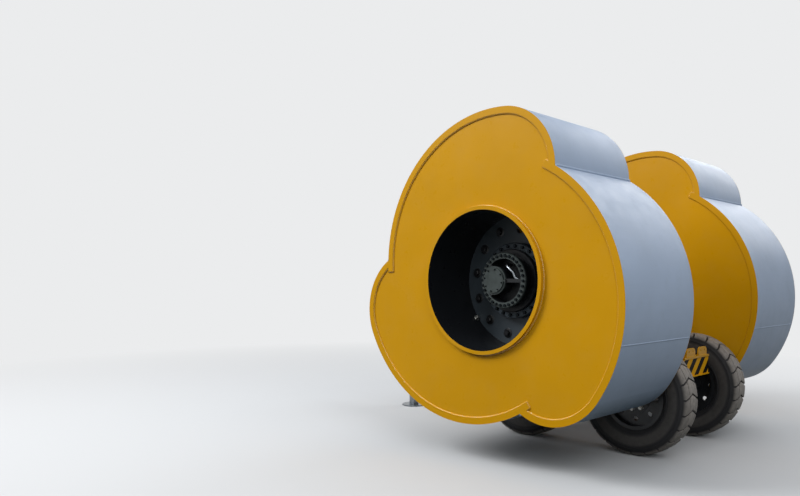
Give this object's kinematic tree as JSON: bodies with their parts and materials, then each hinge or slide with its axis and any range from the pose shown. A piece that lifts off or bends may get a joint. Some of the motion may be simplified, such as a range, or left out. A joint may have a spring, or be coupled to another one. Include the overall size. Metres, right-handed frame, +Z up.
{
  "type": "towed impact roller",
  "caption": "Towed impact roller: lobed steel drums on a common axle, carried by a liftable arm frame on a short wheeled chassis with a drawbar.",
  "frame": {"origin": "on the ground, under the middle of the machine's box", "axes": "+X towards the towing machine, +Y to the left, +Z up"},
  "size_m": [3.5048, 3, 2.2852],
  "materials": {
    "yellow_paint": "gloss",
    "shell_paint": "satin",
    "black_paint": "satin",
    "dark_steel": "satin",
    "bare_steel": "satin",
    "tyre_rubber": "matte",
    "buffer_rubber": "matte",
    "chromed_rod": "polished"
  },
  "bodies": {
    "chassis": {"rail_left": "yellow_paint", "rail_right": "yellow_paint", "cross_members": "yellow_paint", "pivot_pin": "bare_steel", "pivot_washers": "bare_steel", "lift_base": "yellow_paint", "buffers": "buffer_rubber", "rear_cover": "yellow_paint", "rear_top_plate": "yellow_paint", "drawbar": "yellow_paint", "tow_eye": "dark_steel", "jack_sleeve": "yellow_paint", "axle_beam_front": "black_paint", "axle_beam_rear": "black_paint"},
    "lift_frame": {"lift_arm_left": "yellow_paint", "lift_arm_right": "yellow_paint", "bearing_housing_left": "dark_steel", "bearing_housing_right": "dark_steel", "lift_cross_tube": "yellow_paint"},
    "drums": {"drum_axle": "dark_steel", "drum_shell_left": "shell_paint", "drum_outer_plate_left": "yellow_paint", "drum_inner_plate_left": "yellow_paint", "drum_hub_tube_left": "yellow_paint", "drum_disc_left": "black_paint", "hub_left": "dark_steel", "drum_shell_right": "shell_paint", "drum_outer_plate_right": "yellow_paint", "drum_inner_plate_right": "yellow_paint", "drum_hub_tube_right": "yellow_paint", "drum_disc_right": "black_paint", "hub_right": "dark_steel"},
    "wheel_front_left": {"tyre_front_left": "tyre_rubber", "rim_front_left": "black_paint"},
    "wheel_front_right": {"tyre_front_right": "tyre_rubber", "rim_front_right": "black_paint"},
    "wheel_rear_left": {"tyre_rear_left": "tyre_rubber", "rim_rear_left": "black_paint"},
    "wheel_rear_right": {"tyre_rear_right": "tyre_rubber", "rim_rear_right": "black_paint"},
    "barrel_left": {"cylinder_barrel_left": "black_paint"},
    "rod_left": {"cylinder_rod_left": "chromed_rod"},
    "barrel_right": {"cylinder_barrel_right": "black_paint"},
    "rod_right": {"cylinder_rod_right": "chromed_rod"},
    "jack": {"jack_leg": "bare_steel"}
  },
  "joints": [
    {"name": "lift", "type": "hinge", "parent": "chassis", "child": "lift_frame", "pos_m": [0.21744, 0, 0.59], "axis": [0, -1, 0], "range_deg": [0, 15.6]},
    {"name": "drums_turn", "type": "hinge", "parent": "lift_frame", "child": "drums", "pos_m": [-0.73256, 0, 1.2], "axis": [0, 1, 0], "continuous": true},
    {"name": "wheel_front_left_turn", "type": "hinge", "parent": "chassis", "child": "wheel_front_left", "pos_m": [-0.37256, 0.435, 0.4], "axis": [0, 1, 0], "continuous": true},
    {"name": "wheel_front_right_turn", "type": "hinge", "parent": "chassis", "child": "wheel_front_right", "pos_m": [-0.37256, -0.435, 0.4], "axis": [0, 1, 0], "continuous": true},
    {"name": "wheel_rear_left_turn", "type": "hinge", "parent": "chassis", "child": "wheel_rear_left", "pos_m": [-1.30256, 0.435, 0.4], "axis": [0, 1, 0], "continuous": true},
    {"name": "wheel_rear_right_turn", "type": "hinge", "parent": "chassis", "child": "wheel_rear_right", "pos_m": [-1.30256, -0.435, 0.4], "axis": [0, 1, 0], "continuous": true},
    {"name": "barrel_left_swing", "type": "hinge", "parent": "chassis", "child": "barrel_left", "pos_m": [-0.21456, 0.065, 0.383], "axis": [0, -1, 0], "range_deg": [-0.1, 8.83]},
    {"name": "rod_left_slide", "type": "slide", "parent": "barrel_left", "child": "rod_left", "axis": [0.0269, 0, 0.9996], "range_m": [-0.1212, 0.001]},
    {"name": "barrel_right_swing", "type": "hinge", "parent": "chassis", "child": "barrel_right", "pos_m": [-0.21456, -0.065, 0.383], "axis": [0, -1, 0], "range_deg": [-0.1, 8.83]},
    {"name": "rod_right_slide", "type": "slide", "parent": "barrel_right", "child": "rod_right", "axis": [0.0269, 0, 0.9996], "range_m": [-0.1212, 0.001]},
    {"name": "jack_slide", "type": "slide", "parent": "chassis", "child": "jack", "axis": [0, 0, 1], "range_m": [0, 0.25]}
  ],
  "couplings": [
    {"joint": "barrel_left_swing", "follows": "lift", "ratio": 0.55261},
    {"joint": "rod_left_slide", "follows": "lift", "m_per_rad": -0.43996},
    {"joint": "barrel_right_swing", "follows": "lift", "ratio": 0.55261},
    {"joint": "rod_right_slide", "follows": "lift", "m_per_rad": -0.43996}
  ]
}
